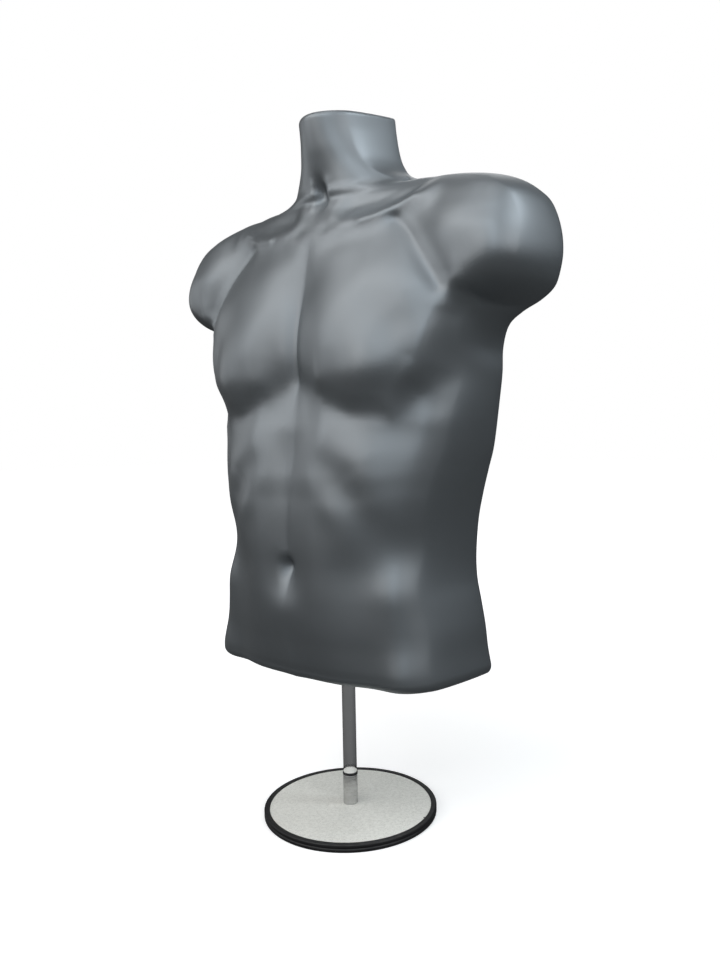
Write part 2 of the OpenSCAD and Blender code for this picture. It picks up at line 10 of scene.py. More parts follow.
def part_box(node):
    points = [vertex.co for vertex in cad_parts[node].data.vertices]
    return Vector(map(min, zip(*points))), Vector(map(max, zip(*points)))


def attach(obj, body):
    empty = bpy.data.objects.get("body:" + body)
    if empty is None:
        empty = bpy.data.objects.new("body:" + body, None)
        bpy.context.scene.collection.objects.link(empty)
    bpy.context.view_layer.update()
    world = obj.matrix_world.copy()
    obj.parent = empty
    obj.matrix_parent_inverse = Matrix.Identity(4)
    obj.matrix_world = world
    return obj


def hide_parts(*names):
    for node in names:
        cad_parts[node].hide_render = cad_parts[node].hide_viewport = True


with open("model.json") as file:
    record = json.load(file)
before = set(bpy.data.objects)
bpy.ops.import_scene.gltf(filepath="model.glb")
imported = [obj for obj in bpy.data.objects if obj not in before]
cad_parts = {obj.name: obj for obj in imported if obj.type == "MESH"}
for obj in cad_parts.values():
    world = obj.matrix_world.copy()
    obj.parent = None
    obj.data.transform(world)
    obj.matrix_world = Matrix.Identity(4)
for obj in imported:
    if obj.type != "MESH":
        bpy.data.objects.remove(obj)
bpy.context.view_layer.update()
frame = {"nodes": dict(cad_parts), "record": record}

MM = 0.001

# ---- Where the CAD part is ------------------------------------------------
shell_low, shell_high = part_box("torso_shell")
disc_low, disc_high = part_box("base_disc")
trim_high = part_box("base_trim")[1]
stub_low, stub_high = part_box("post_stub")
ring_low, ring_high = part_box("joint_ring")
pole_low, pole_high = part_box("lower_pole")
BACK_Y = shell_high.y
BOTTOM_Z = shell_low.z

# ---- Surface of the form, in millimetres of the reference form -------------
# Half outline seen from the front: x, z, the height on the centre line where
# that row of the mesh starts, and how far out the row turns towards the outline
OUTLINE = np.array([
    [44, 788, 788, 0.78], [46, 772, 772, 0.78], [50, 752, 751, 0.78], [56, 737, 733, 0.8],
    [68, 724, 716, 0.85], [100, 713, 700, 0.9], [131, 709, 687, 0.93], [167, 704, 676, 0.93],
    [202, 694, 665, 0.88], [226, 677, 654, 0.82], [238, 662, 645, 0.78], [246, 639, 634, 0.78],
    [248, 616, 622, 0.78], [244, 595, 611, 0.8], [238, 583, 603, 0.88], [224, 573, 595, 0.95],
    [204, 564, 585, 0.97], [188, 552, 572, 0.95], [181, 530, 552, 0.85], [180, 505, 527, 0.78],
    [177, 480, 500, 0.78], [170, 431, 444, 0.78], [163, 405, 412, 0.78], [156, 379, 382, 0.78],
    [150, 350, 350, 0.78], [147, 314, 314, 0.78], [148, 287, 287, 0.78], [153, 262, 262, 0.78],
    [158, 236, 236, 0.78], [161, 212, 212, 0.78], [165, 192, 192, 0.78]], float)

TRUNK_W = [(185, 167), (236, 160), (287, 150), (314, 149), (350, 152), (405, 165),
           (480, 179), (552, 186), (600, 190), (712, 200)]
TRUNK_D = [(185, 150), (201, 154), (227, 150), (269, 143), (310, 137), (374, 136),
           (404, 137), (449, 130), (470, 122), (500, 114), (555, 110), (600, 104),
           (629, 98), (660, 86), (684, 75), (695, 64), (705, 44), (712, 2)]
TRUNK_N = [(185, 3.0), (314, 2.8), (500, 2.8), (580, 2.7), (640, 2.1), (712, 2.0)]
NECK_W = [(680, 111), (700, 91), (712, 77), (724, 67), (737, 58), (752, 52), (772, 47), (794, 45)]
NECK_D = [(680, 60), (700, 70), (712, 75), (724, 79), (737, 83), (752, 87), (772, 91), (794, 95)]

REF_TOP = 794.0       # the neck's top at the open back
REF_BOTTOM = 181.0    # the hem's underside
NECK_SLOPE = 0.13     # fall of the neck's top towards the front
NECK_TILTS = (715, 788)    # heights between which the rows take on that fall
RIM_R = 6.0           # rounding of the neck's rim
HEM_IN = 14.0         # how far the hem draws in at the front
HEM_SIDE = 8.0        # how far it draws in at the sides
HEM_FLANGE = 6.0      # width of the lip under the hem
EDGE_R = 12.0         # rounding along the open back
EDGE_POWER = 2.2
LEAST_DEPTH = 14.0    # the shallowest place ahead of the open back
LEAST_BLEND = 8
WALL = 3.0            # thickness of the moulding
NECK_BLEND = 20       # how softly the neck, arm and chest run into the trunk
ARM_BLEND = 20
CHEST_BLEND = 15
OUTSIDE_FALL = -40    # how fast neck and arm sink away beyond their edges
SUNK = 60             # how far they lie below the trunk elsewhere


def smooth(v, start, end):
    """A soft step from 0 at start to 1 at end."""
    t = np.clip((v - start) / (end - start), 0, 1)
    return t * t * (3 - 2 * t)


def soft_max(a, b, k):
    """The larger of a and b, with the crease between them rounded over about k."""
    return (a + b + np.sqrt((a - b) ** 2 + k * k)) / 2


def power(t, n):
    """The size of t to the power n, kept off zero."""
    return np.power(np.maximum(np.abs(t), 1e-6), n)


def superarc(q, n):
    """The height of a rounded arch: 1 at q = 0, and 0 at q = 1."""
    return np.power(np.clip(1 - q, 1e-9, 1), 1 / n)


def hermite(p, q, mp, mq, s):
    """A cubic from p to q with the slopes mp and mq."""
    return (p * (2 * s ** 3 - 3 * s ** 2 + 1) + mp * (s ** 3 - 2 * s ** 2 + s)
            + q * (3 * s ** 2 - 2 * s ** 3) + mq * (s ** 3 - s ** 2))


def curve(table, v):
    """Smooth curve through the rows of a table whose first column rises."""
    keys, values = np.array(table, float).T
    v = np.clip(v, keys[0], keys[-1])
    last = len(keys) - 1
    slope = np.array([(values[min(i + 1, last)] - values[max(i - 1, 0)])
                      / (keys[min(i + 1, last)] - keys[max(i - 1, 0)]) for i in range(last + 1)])
    i = np.clip(np.searchsorted(keys, v, side="right") - 1, 0, last - 1)
    h = keys[i + 1] - keys[i]
    return hermite(values[i], values[i + 1], h * slope[i], h * slope[i + 1], (v - keys[i]) / h)


def station(v):
    """Smooth run along the outline stations, for a column of positions."""
    last = len(OUTLINE) - 1
    slope = np.array([(OUTLINE[min(i + 1, last)] - OUTLINE[max(i - 1, 0)])
                      / (min(i + 1, last) - max(i - 1, 0)) for i in range(last + 1)])
    i = np.minimum(np.floor(v).astype(int), last - 1)
    s = (v - i)[:, None]
    return hermite(OUTLINE[i], OUTLINE[i + 1], slope[i], slope[i + 1], s)


def trunk_depth(x, z):
    n = curve(TRUNK_N, z)
    t = np.clip(x / curve(TRUNK_W, z), 0, 1)
    return curve(TRUNK_D, z) * superarc(power(t, n), n)


NECK_POWERS = (2, 2.2)
NECK_ROOT = (705, 660)    # the neck fades out between these heights


def neck_depth(x, z):
    t = x / curve(NECK_W, z)
    inside = curve(NECK_D, z) * superarc(power(t, NECK_POWERS[0]), NECK_POWERS[1])
    return np.where(t < 1, inside, OUTSIDE_FALL * (t - 1)) - SUNK * smooth(z, *NECK_ROOT)


ARM_X, ARM_Z = 165.0, 625.0    # middle of the arm stub's root
ARM_DEPTH = 81
ARM_OUT = 85                   # reach sideways
ARM_UP, ARM_DOWN = 81, 58      # reach above and below the middle
ARM_IN = 60                    # reach towards the chest
ARM_IN_POWER, ARM_IN_SHARE = 1.6, 0.3
ARM_FADE = (40, 90)            # the arm fades in between these places across
ARM_HALVES = (600, 650)        # the lower half turns into the upper half between these heights
# Powers of the lower half, and what comes off them in the upper half
ARM_OUT_POWER = (3.5, 1.3)
ARM_ALONG_POWER = (2.8, 0.6)
ARM_ARCH_POWER = (2.2, 0.5)
ARM_UNDER_POWER = 0.5          # what comes off the arch's power on the underside
ARM_UNDER_BLEND = 0.05


def arm_depth(x, z):
    up = smooth(z, *ARM_HALVES)

    def eased(start, less):
        return start - less * up

    out = power(np.maximum(x - ARM_X, 0) / ARM_OUT, eased(*ARM_OUT_POWER))
    along = power((z - ARM_Z) / np.where(z > ARM_Z, ARM_UP, ARM_DOWN), eased(*ARM_ALONG_POWER))
    inwards = ARM_IN_SHARE * power(np.maximum(ARM_X - x, 0) / ARM_IN, ARM_IN_POWER)
    q = out + along + inwards
    under = along / (out + along + ARM_UNDER_BLEND)
    m = eased(*ARM_ARCH_POWER) - ARM_UNDER_POWER * under * (1 - up)
    inner = smooth(x, *ARM_FADE)
    arm = np.where(q < 1, ARM_DEPTH * superarc(q, m), OUTSIDE_FALL * (q - 1))
    return arm * inner - SUNK * (1 - inner)


CHEST_X, CHEST_Z = 78, 536    # fullest place of the chest muscle
CHEST_DEPTH = 138
CHEST_FALL = 49
CHEST_RISE = 0.09             # how much the muscle rises outwards
# Reach and power towards the middle, outwards, upwards and downwards
CHEST_IN, CHEST_OUT = (93, 4.6), (86, 2.7)
CHEST_UP, CHEST_DOWN = (90, 1.9), (69, 2)


def chest_depth(x, z):
    dx = x - CHEST_X
    dz = z - CHEST_RISE * dx - CHEST_Z

    def fall(t, reach, n):
        return power(t / reach, n)

    across = np.where(dx < 0, fall(dx, *CHEST_IN), fall(dx, *CHEST_OUT))
    along = np.where(dz > 0, fall(dz, *CHEST_UP), fall(dz, *CHEST_DOWN))
    return CHEST_DEPTH - CHEST_FALL * (across + along)


def distance(x, z, a, b):
    """How far points are from the straight piece between a and b."""
    v = np.subtract(b, a).astype(float)
    t = np.clip(((x - a[0]) * v[0] + (z - a[1]) * v[1]) / (v @ v), 0, 1)
    return np.hypot(x - a[0] - t * v[0], z - a[1] - t * v[1])


def line(x, z, points, width):
    """A soft ridge along a line through points, 1 on it and fading over width."""
    r = [distance(x, z, points[i], points[i + 1]) for i in range(len(points) - 1)]
    return np.exp(-(np.min(r, axis=0) / width) ** 2)


def spot(x, z, at, size, angle):
    """A soft round or oval rise, 1 in its middle, turned by an angle in degrees."""
    c, s = math.cos(math.radians(angle)), math.sin(math.radians(angle))
    u = (x - at[0]) * c + (z - at[1]) * s
    v = -(x - at[0]) * s + (z - at[1]) * c
    return np.exp(-(u / size[0]) ** 2 - (v / size[1]) ** 2)


NAVEL_Z = 307.0
NAVEL_SIZE = (8.0, 6.0, 17.0)    # across, above and below
NAVEL_DEPTH = 9.0

# Ridges and furrows: height, width and the points they run through
RIDGES = [
    (6.5, 15, [(29, 662), (55, 664), (81, 667), (105, 673), (131, 682)]),  # collar bone
    (-6, 13, [(44, 680), (78, 680), (104, 683), (126, 692)]),  # hollow above the collar bone
    (-4, 16, [(112, 658), (131, 638), (147, 616), (160, 598), (170, 582)]),  # towards the arm
    (-3, 10, [(44, 482), (79, 468), (109, 466), (139, 484)]),  # fold under the chest muscle
    (-1.5, 10, [(0, 639), (0, 499)]),  # furrow between the chest muscles
    (-1.5, 10, [(0, 476), (0, 328)]),  # furrow down the belly
    (3.5, 21, [(0, 469), (0, 329)]),  # broad rise that this furrow lies in
    (4.5, 22, [(57, 436), (93, 414), (105, 380)]),  # edge of the rib arch
    (7, 31, [(139, 242), (136, 188)]),  # hip bone
    (5, 10, [(120, 472), (152, 512), (166, 562)]),  # outer lower edge of the chest muscle
    (3.5, 16, [(151, 452), (141, 382)]),  # side between ribs and hip
    (-3, 6, [(103, 658), (122, 638), (139, 616), (152, 598), (162, 583)]),  # sharp chest edge
    (2, 5, [(66, 661), (84, 663), (102, 669), (122, 679)]),  # sharp edge of the collar bone
    (-1.5, 5, [(60, 671), (84, 673), (102, 679), (120, 689)]),  # crease above the collar bone
    (1, 5, [(11, 690), (11, 712)]),  # rims of the throat
]

# Rounded rises and hollows: height, middle, size and turn in degrees
SPOTS = [
    (-3.5, (24, 661), (12, 9), 0),  # inner end of the collar bone
    (3, (26, 695), (18, 21), 20),  # slope from neck to shoulder
    (4.5, (51, 618), (41, 28), 10),  # upper chest
    (-9, (110, 562), (29, 35), 0),  # hollow over the chest muscle
    (16, (87, 486), (44, 29), 8),  # lower part of the chest muscle
    (-5.5, (25, 529), (19, 36), 0),  # inner side of the chest muscle
    (-6, (130, 541), (19, 29), -20),  # outer side of the chest muscle
    (15.5, (183, 577), (19, 13), 0),  # armpit, front
    (-14, (174, 514), (16, 34), 0),  # side of the back
    (-2.5, (82, 458), (35, 13), -12),  # top of the rib arch
    (-4.5, (134, 450), (25, 30), 0),  # side of the ribs
    (5, (68, 366), (18, 31), 38),  # belly pad below the ribs
    (-6, (5, 420), (16, 43), 0),  # hollow beside the middle of the belly
    (3.5, (76, 334), (20, 24), 0),  # rise below the pads
    (11.5, (42, 331), (31, 77), 0),  # lower belly pad
    (6, (137, 358), (33, 25), 0),  # waist
    (12, (130, 284), (25, 30), 0),  # muscle above the hip bone
    (-6, (115, 238), (73, 43), 0),  # groin
    (3.5, (0, 260), (24, 20), 0),  # belly under the navel
    (-16, (28, 190), (76, 38), 0),  # lowest belly
    (-10, (101, 194), (32, 39), 0),  # side of the lowest belly
    (5.5, (177, 631), (27, 35), 0),  # front of the shoulder
    (15, (225, 638), (34, 60), 0),  # outer shoulder
    (3.5, (178, 684), (74, 14), -10),  # top of the shoulder
    (10.5, (188, 587), (32, 20), 0),  # lower end of the shoulder muscle
    (5, (47, 490), (17, 25), 0),  # inner lower corner of the chest muscle
    (-3.5, (201, 577), (34, 9), 0),  # underside of the arm stub
    (5.5, (0, 653), (24, 24), 0),  # breast bone
    (-9, (0, 702), (7, 13), 0),  # throat
    (3, (0, 694), (4, 6), 0),  # lower rim of the throat
]


def detail(x, z):
    """Bones, folds and hollows that lie on the large shapes."""
    f = sum(height * line(x, z, points, width) for height, width, points in RIDGES)
    f = f + sum(height * spot(x, z, at, size, turn) for height, at, size, turn in SPOTS)
    dz = z - NAVEL_Z
    wide, up, down = NAVEL_SIZE
    along = np.where(dz > 0, (dz / up) ** 2, (dz / down) ** 2)
    return f - NAVEL_DEPTH * np.exp(-(x / wide) ** 2 - along)


def ref_depth(x, z):
    """How far the skin stands ahead of the open back, at x across and z up."""
    d = soft_max(trunk_depth(x, z), neck_depth(x, z), NECK_BLEND)
    d = soft_max(d, arm_depth(x, z), ARM_BLEND)
    d = soft_max(d, chest_depth(x, z), CHEST_BLEND)
    return d + detail(x, z)


def back_edge(dist):
    """Rounds the skin off where it meets the open back."""
    return superarc(power(np.maximum(1 - dist / EDGE_R, 0), EDGE_POWER), EDGE_POWER)


def skin(v, u):
    """The outer skin: v runs along the outline stations, u from -1 to 1 from side to side."""
    st = station(v)[:, None, :]
    t = np.abs(np.sin(u * math.pi / 2))[None, :]
    out_x, out_z, mid_z, bend = (st[..., i] for i in range(4))
    x = 2 * t * (1 - t) * bend * out_x + t * t * out_x
    z = 2 * t * (1 - t) * mid_z + t * t * out_z + (1 - t) ** 2 * mid_z
    d = soft_max(ref_depth(x, z), LEAST_DEPTH, LEAST_BLEND)
    d = d * back_edge(np.hypot(x - out_x, z - out_z))
    d[:, 0] = 0
    d[:, -1] = 0
    drop = NECK_SLOPE * d * smooth(z, *NECK_TILTS)
    return np.stack([np.sign(u)[None, :] * x, d, z - drop], -1)


def form_rows(per_station, half_columns, cap_rows=10, rim_rows=8, hem_rows=12):
    """All rows of the outer skin from the middle of the neck's top to the hem's flange."""
    last = len(OUTLINE) - 1
    u = np.linspace(-1, 1, 2 * half_columns + 1)
    side = skin(np.linspace(0, last, last * per_station + 1), u)
    neck, hem = side[0], side[-1]
    neck_half, neck_front = neck[-1, 0], neck[half_columns, 1]

    def on_plane(row, lower):
        row = row.copy()
        row[:, 2] = REF_TOP - lower - NECK_SLOPE * row[:, 1]
        return row

    def drawn_in(row, fx, fd):
        return row * np.array([fx, fd, 1.0])

    rows = []
    for f in np.linspace(0, 1, cap_rows + 1)[:-1]:
        row = drawn_in(neck, f * (1 - RIM_R / neck_half), f * (1 - RIM_R / neck_front))
        rows.append(on_plane(row, 0))
    for a in np.linspace(0, math.pi / 2, rim_rows + 1)[:-1]:
        inset = RIM_R * (1 - math.sin(a))
        row = drawn_in(neck, 1 - inset / neck_half, 1 - inset / neck_front)
        rows.append(on_plane(row, RIM_R * (1 - math.cos(a))))
    rows += list(side)
    for a in np.linspace(0, math.pi / 2, hem_rows + 1)[1:]:
        k = 1 - math.cos(a)
        row = drawn_in(hem, 1 - HEM_SIDE * k / hem[-1, 0], 1 - HEM_IN * k / hem[half_columns, 1])
        row[:, 2] -= (OUTLINE[-1, 1] - REF_BOTTOM) * math.sin(a)
        rows.append(row)
    low = rows[-1]
    rows.append(drawn_in(low, 1 - HEM_FLANGE / low[-1, 0], 1 - HEM_FLANGE / low[half_columns, 1]))
    return np.array(rows)


def placed(p):
    """From x, depth, z of the reference form to the frame, in metres."""
    scale_z = (shell_high.z - BOTTOM_Z) / ((REF_TOP - REF_BOTTOM) * MM)
    return np.stack([p[..., 0] * MM, BACK_Y - p[..., 1] * MM,
                     BOTTOM_Z + (p[..., 2] - REF_BOTTOM) * MM * scale_z], -1)


# ---- Mesh helpers ------------------------------------------------------------
def new_object(name, points, faces, smooth_faces=True):
    """A mesh object from points and faces, put in the scene."""
    mesh = bpy.data.meshes.new(name)
    mesh.from_pydata([tuple(map(float, p)) for p in points], [], faces)
    mesh.update()
    mesh.validate()
    mesh.polygons.foreach_set("use_smooth", [smooth_faces] * len(mesh.polygons))
    obj = bpy.data.objects.new(name, mesh)
    bpy.context.scene.collection.objects.link(obj)
    return obj


def grid_faces(rows, columns, offset=0, flip=False):
    """Four-sided faces of a grid of points."""
    faces = []
    for i in range(rows - 1):
        for j in range(columns - 1):
            a = offset + i * columns + j
            face = (a, a + columns, a + columns + 1, a + 1)
            faces.append(face[::-1] if flip else face)
    return faces


def grid_normals(grid):
    """Unit normals of a grid of points, by central differences."""
    down = np.gradient(grid, axis=0)
    across = np.gradient(grid, axis=1)
    n = np.cross(across, down)
    return n / np.maximum(np.linalg.norm(n, axis=-1, keepdims=True), 1e-12)


def lathe(name, profile, segments=192):
    """A closed ring of revolution about Z from a closed profile of (radius, height)."""
    count = len(profile)
    angles = np.linspace(0, 2 * math.pi, segments, endpoint=False)
    points = [(r * math.cos(a), r * math.sin(a), z) for a in angles for r, z in profile]
    faces = []
    for i in range(segments):
        for j in range(count):
            here, beside = i * count, ((i + 1) % segments) * count
            k = (j + 1) % count
            faces.append((here + j, beside + j, beside + k, here + k))
    return new_object(name, points, faces)


def rounded(points, radius, steps=5):
    """A closed profile with its corners rounded; radius is one number or one per corner."""
    longest = 0.45    # share of a side that a corner may take
    out = []
    count = len(points)
    for i, p in enumerate(points):
        r = radius[i] if isinstance(radius, (list, tuple)) else radius
        p, a, b = Vector(p), Vector(points[i - 1]), Vector(points[(i + 1) % count])
        if r <= 0:
            out.append(tuple(p))
            continue
        start = p + (a - p).normalized() * min(r, (a - p).length * longest)
        end = p + (b - p).normalized() * min(r, (b - p).length * longest)
        for k in range(steps + 1):
            t = k / steps
            q = start * (1 - t) ** 2 + p * (2 * t * (1 - t)) + end * t * t
            out.append(tuple(q))
    return out


# ---- Materials ---------------------------------------------------------------
class Nodes:
    """A material's node tree with short calls for the nodes used here."""

    def __init__(self, name):
        self.material = bpy.data.materials.new(name)
        self.material.use_nodes = True
        self.tree = self.material.node_tree
        self.shader = self.tree.nodes["Principled BSDF"]
        self.coordinates = self.tree.nodes.new("ShaderNodeTexCoord").outputs["Object"]

    def link(self, source, target):
        self.tree.links.new(source, target)

    def noise(self, scale, detail_levels=3.0, roughness=0.5, stretch=None):
        n = self.tree.nodes.new("ShaderNodeTexNoise")
        n.inputs["Scale"].default_value = scale
        n.inputs["Detail"].default_value = detail_levels
        n.inputs["Roughness"].default_value = roughness
        self.link(self.stretched(stretch), n.inputs["Vector"])
        return n.outputs["Fac"]

    def voronoi(self, scale):
        n = self.tree.nodes.new("ShaderNodeTexVoronoi")
        n.inputs["Scale"].default_value = scale
        self.link(self.coordinates, n.inputs["Vector"])
        return n.outputs["Distance"]

    def stretched(self, stretch):
        if stretch is None:
            return self.coordinates
        n = self.tree.nodes.new("ShaderNodeMapping")
        n.inputs["Scale"].default_value = stretch
        self.link(self.coordinates, n.inputs["Vector"])
        return n.outputs["Vector"]

    def ramp(self, source, stops):
        n = self.tree.nodes.new("ShaderNodeValToRGB")
        elements = n.color_ramp.elements
        while len(elements) < len(stops):
            elements.new(0.5)
        for e, (at, colour) in zip(elements, stops):
            e.position = at
            value = colour if isinstance(colour, (tuple, list)) else (colour,) * 3
            e.color = (*value, 1)
        self.link(source, n.inputs["Fac"])
        return n.outputs["Color"]

    def to_range(self, source, low, high, start=0.3, end=0.7):
        n = self.tree.nodes.new("ShaderNodeMapRange")
        n.inputs["From Min"].default_value = start
        n.inputs["From Max"].default_value = end
        n.inputs["To Min"].default_value = low
        n.inputs["To Max"].default_value = high
        self.link(source, n.inputs["Value"])
        return n.outputs["Result"]

    def put(self, socket, value):
        if isinstance(value, bpy.types.NodeSocket):
            self.link(value, socket)
        elif isinstance(value, (tuple, list)):
            socket.default_value = (*value, 1)
        else:
            socket.default_value = value

    def bump(self, height, distance_m, strength):
        n = self.tree.nodes.new("ShaderNodeBump")
        n.inputs["Strength"].default_value = strength
        n.inputs["Distance"].default_value = distance_m
        self.link(height, n.inputs["Height"])
        self.link(n.outputs["Normal"], self.shader.inputs["Normal"])

    def set(self, **values):
        for key, value in values.items():
            self.put(self.shader.inputs[key.replace("_", " ")], value)


def colour_mix(m, a, b, factor):
    """Mix of two colours or sockets by a number or socket."""
    n = m.tree.nodes.new("ShaderNodeMix")
    n.data_type = "RGBA"
    rgba = [s for s in n.inputs if s.type == "RGBA"]
    fac = [s for s in n.inputs if s.name == "Factor" and s.type == "VALUE"][0]
    m.put(fac, factor)
    m.put(rgba[0], a)
    m.put(rgba[1], b)
    return [s for s in n.outputs if s.type == "RGBA"][0]


def form_plastic():
    """Graphite plastic with a fine metallic sheen."""
    m = Nodes("form_plastic")
    cloud = m.noise(5.0, 3.0, 0.5)
    grain = m.noise(1400.0, 2.0, 0.6)
    colour = m.ramp(cloud, [(0.3, (0.225, 0.245, 0.262)), (0.7, (0.245, 0.266, 0.283))])
    m.set(Base_Color=colour, Roughness=m.to_range(m.noise(9.0, 4.0, 0.6), 0.46, 0.50),
          Metallic=0.9, Specular_IOR_Level=0.5)
    m.bump(grain, 0.00006, 0.35)
    return m.material


def powder_coat():
    """Off-white textured coat with fine darker specks."""
    m = Nodes("powder_coat")
    speck = m.voronoi(420.0)
    fine = m.noise(900.0, 3.0, 0.65)
    shades = [(0.32, (0.72, 0.72, 0.67)), (0.68, (0.88, 0.88, 0.83))]
    base = m.ramp(m.noise(260.0, 4.0, 0.7), shades)
    dots = m.ramp(speck, [(0.05, 1.0), (0.30, 0.0)])
    colour = colour_mix(m, base, (0.52, 0.52, 0.48), dots)
    m.set(Base_Color=colour, Roughness=m.to_range(fine, 0.50, 0.68))
    m.bump(fine, 0.00025, 0.6)
    return m.material


def rubber():
    """Black rubber, slightly uneven."""
    m = Nodes("rubber")
    shades = [(0.3, (0.006, 0.006, 0.007)), (0.7, (0.013, 0.013, 0.014))]
    colour = m.ramp(m.noise(60.0, 4.0, 0.6), shades)
    m.set(Base_Color=colour, Roughness=m.to_range(m.noise(140.0, 3.0, 0.6), 0.42, 0.58))
    m.bump(m.noise(900.0, 2.0, 0.5), 0.00008, 0.3)
    return m.material


def chrome():
    """Bright plate with faint streaks along the tube."""
    m = Nodes("chrome")
    colour = m.ramp(m.noise(30.0, 2.0, 0.5), [(0.3, (0.88, 0.88, 0.89)), (0.7, (0.93, 0.93, 0.94))])
    streaks = m.noise(18.0, 3.0, 0.6, (1.0, 1.0, 0.08))
    m.set(Base_Color=colour, Metallic=1.0, Roughness=m.to_range(streaks, 0.035, 0.075))
    return m.material


def zinc():
    """Satin plate with fine turning marks."""
    m = Nodes("zinc")
    colour = m.ramp(m.noise(80.0, 4.0, 0.6), [(0.3, (0.50, 0.50, 0.50)), (0.7, (0.60, 0.60, 0.60))])
    turning = m.noise(60.0, 3.0, 0.6, (0.3, 0.3, 12.0))
    m.set(Base_Color=colour, Metallic=1.0, Roughness=m.to_range(turning, 0.24, 0.36))
    m.bump(turning, 0.00003, 0.3)
    return m.material


def moulded(name, dark, light, rough=(0.40, 0.52)):
    """A plain moulded plastic between two shades, with a fine grain."""
    m = Nodes(name)
    colour = m.ramp(m.noise(24.0, 3.0, 0.6), [(0.3, dark), (0.7, light)])
    m.set(Base_Color=colour, Roughness=m.to_range(m.noise(70.0, 3.0, 0.6), *rough))
    m.bump(m.noise(700.0, 2.0, 0.5), 0.00006, 0.3)
    return m.material


MATERIALS = {
    "form_plastic": form_plastic(),
    "powder_coat": powder_coat(),
    "rubber_edge": rubber(),
    "chrome_tube": chrome(),
    "zinc_steel": zinc(),
    "black_plastic": moulded("black_plastic", (0.010, 0.010, 0.011), (0.018, 0.018, 0.020)),
    "grey_abs": moulded("grey_abs", (0.15, 0.16, 0.17), (0.18, 0.19, 0.20)),
    "nylon": moulded("nylon", (0.60, 0.59, 0.54), (0.68, 0.67, 0.62), (0.35, 0.45)),
}
slot_of = {s["node"]: s["material_slot"] for s in frame["record"]["subparts"]}


def finish_piece(obj, slot_name, body, *nodes):
    """Gives a piece its material, its body and the CAD nodes that it replaces."""
    obj.data.materials.clear()
    obj.data.materials.append(MATERIALS[slot_name])
    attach(obj, body)
    if nodes:
        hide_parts(*nodes)


# ---- CAD nodes that are shown as they are ---------------------------------------
for node_name, node_obj in frame["nodes"].items():
    node_obj.data.materials.clear()
    node_obj.data.materials.append(MATERIALS[slot_of[node_name]])

# ---- The form ------------------------------------------------------------------
PER_STATION = 8
HALF_COLUMNS = 120
outer = placed(form_rows(PER_STATION, HALF_COLUMNS))
normals = grid_normals(outer)
rows, columns = outer.shape[:2]
# the normals point out of the form or into it, and the middle of the front tells which
inwards = 1 if normals[rows // 2, columns // 2, 1] > 0 else -1
inner = outer + normals * WALL * MM * inwards
inner[..., 1] = np.minimum(inner[..., 1], BACK_Y)
for side_column in (0, -1):
    inner[:, side_column, 1] = BACK_Y
points = np.concatenate([outer.reshape(-1, 3), inner.reshape(-1, 3)])
count = rows * columns
faces = grid_faces(rows, columns) + grid_faces(rows, columns, count, flip=True)
for i in range(rows - 1):
    a, b = i * columns, (i + 1) * columns
    faces.append((a, a + count, b + count, b))
    a, b = a + columns - 1, b + columns - 1
    faces.append((b, b + count, a + count, a))
bottom = (rows - 1) * columns
for j in range(columns - 1):
    a, b = bottom + j, bottom + j + 1
    faces.append((a, a + count, b + count, b))
form = new_object("form", points, faces)
finish_piece(form, "form_plastic", "form", "torso_shell")

# ---- The base and the pole -----------------------------------------------------------
BASE_R = trim_high.x
TRIM_H = trim_high.z
TRIM_W = 0.0066
DISC_TOP = disc_high.z
DISC_CROWN = 0.0012
CROWN_STEPS = 40
PIN = 0.0002    # radius of the closed middle of a turned piece
disc_r = disc_high.x
crown = [(disc_r * t, DISC_TOP - DISC_CROWN * t * t)
         for t in np.linspace(0, 1, CROWN_STEPS + 1)[1:]]
disc_profile = [(PIN, disc_low.z), (disc_r, disc_low.z)] + crown[::-1] + [(PIN, DISC_TOP)]
disc = lathe("disc_coat", disc_profile)
finish_piece(disc, "powder_coat", "base", "base_disc")

# the trim has a groove round its outside, which leaves two ribs
GROOVE_LOW, GROOVE_MIDDLE, GROOVE_HIGH = 0.0034, 0.0045, 0.0056
GROOVE_DEPTH = 0.0010
TRIM_ROUNDINGS = [0.0006, 0.0014, 0.0007, 0.0007, 0.0007, 0.0018, 0.0012]
inner_r = BASE_R - TRIM_W
trim_profile = rounded(
    [(inner_r, 0.0), (BASE_R, 0.0), (BASE_R, GROOVE_LOW), (BASE_R - GROOVE_DEPTH, GROOVE_MIDDLE),
     (BASE_R, GROOVE_HIGH), (BASE_R, TRIM_H), (inner_r, TRIM_H)],
    TRIM_ROUNDINGS)
trim = lathe("rubber_ring", trim_profile, 256)
finish_piece(trim, "rubber_edge", "base", "base_trim")

# where the rubber's two ends meet, a small tail of it turns in over the disc
TAIL_ANGLE = math.radians(13.5)
TAIL_LENGTH = 0.0026
TAIL_ROOT = 0.0015    # how far it reaches back into the trim
TAIL_HALF = 0.0009    # half its width
TAIL_SUNK = (0.0004, 0.0012)    # how far its root and its tip lie below the trim's top
TAIL_ROUNDING = 0.0005
tail_in, tail_out = inner_r - TAIL_LENGTH, inner_r + TAIL_ROOT
tail_z = DISC_TOP - DISC_CROWN
root_top, tip_top = (TRIM_H - sunk for sunk in TAIL_SUNK)
tail_profile = rounded([(tail_in, tail_z), (tail_out, tail_z), (tail_out, root_top),
                        (tail_in, tip_top)], TAIL_ROUNDING, 4)
along, aside = math.cos(TAIL_ANGLE), math.sin(TAIL_ANGLE)
tail_points = [(r * along - half * aside, r * aside + half * along, z)
               for half in (-TAIL_HALF, TAIL_HALF) for r, z in tail_profile]
tail_count = len(tail_profile)
tail_faces = [tuple(range(tail_count))[::-1], tuple(range(tail_count, 2 * tail_count))]
for i in range(tail_count):
    j = (i + 1) % tail_count
    tail_faces.append((i, j, j + tail_count, i + tail_count))
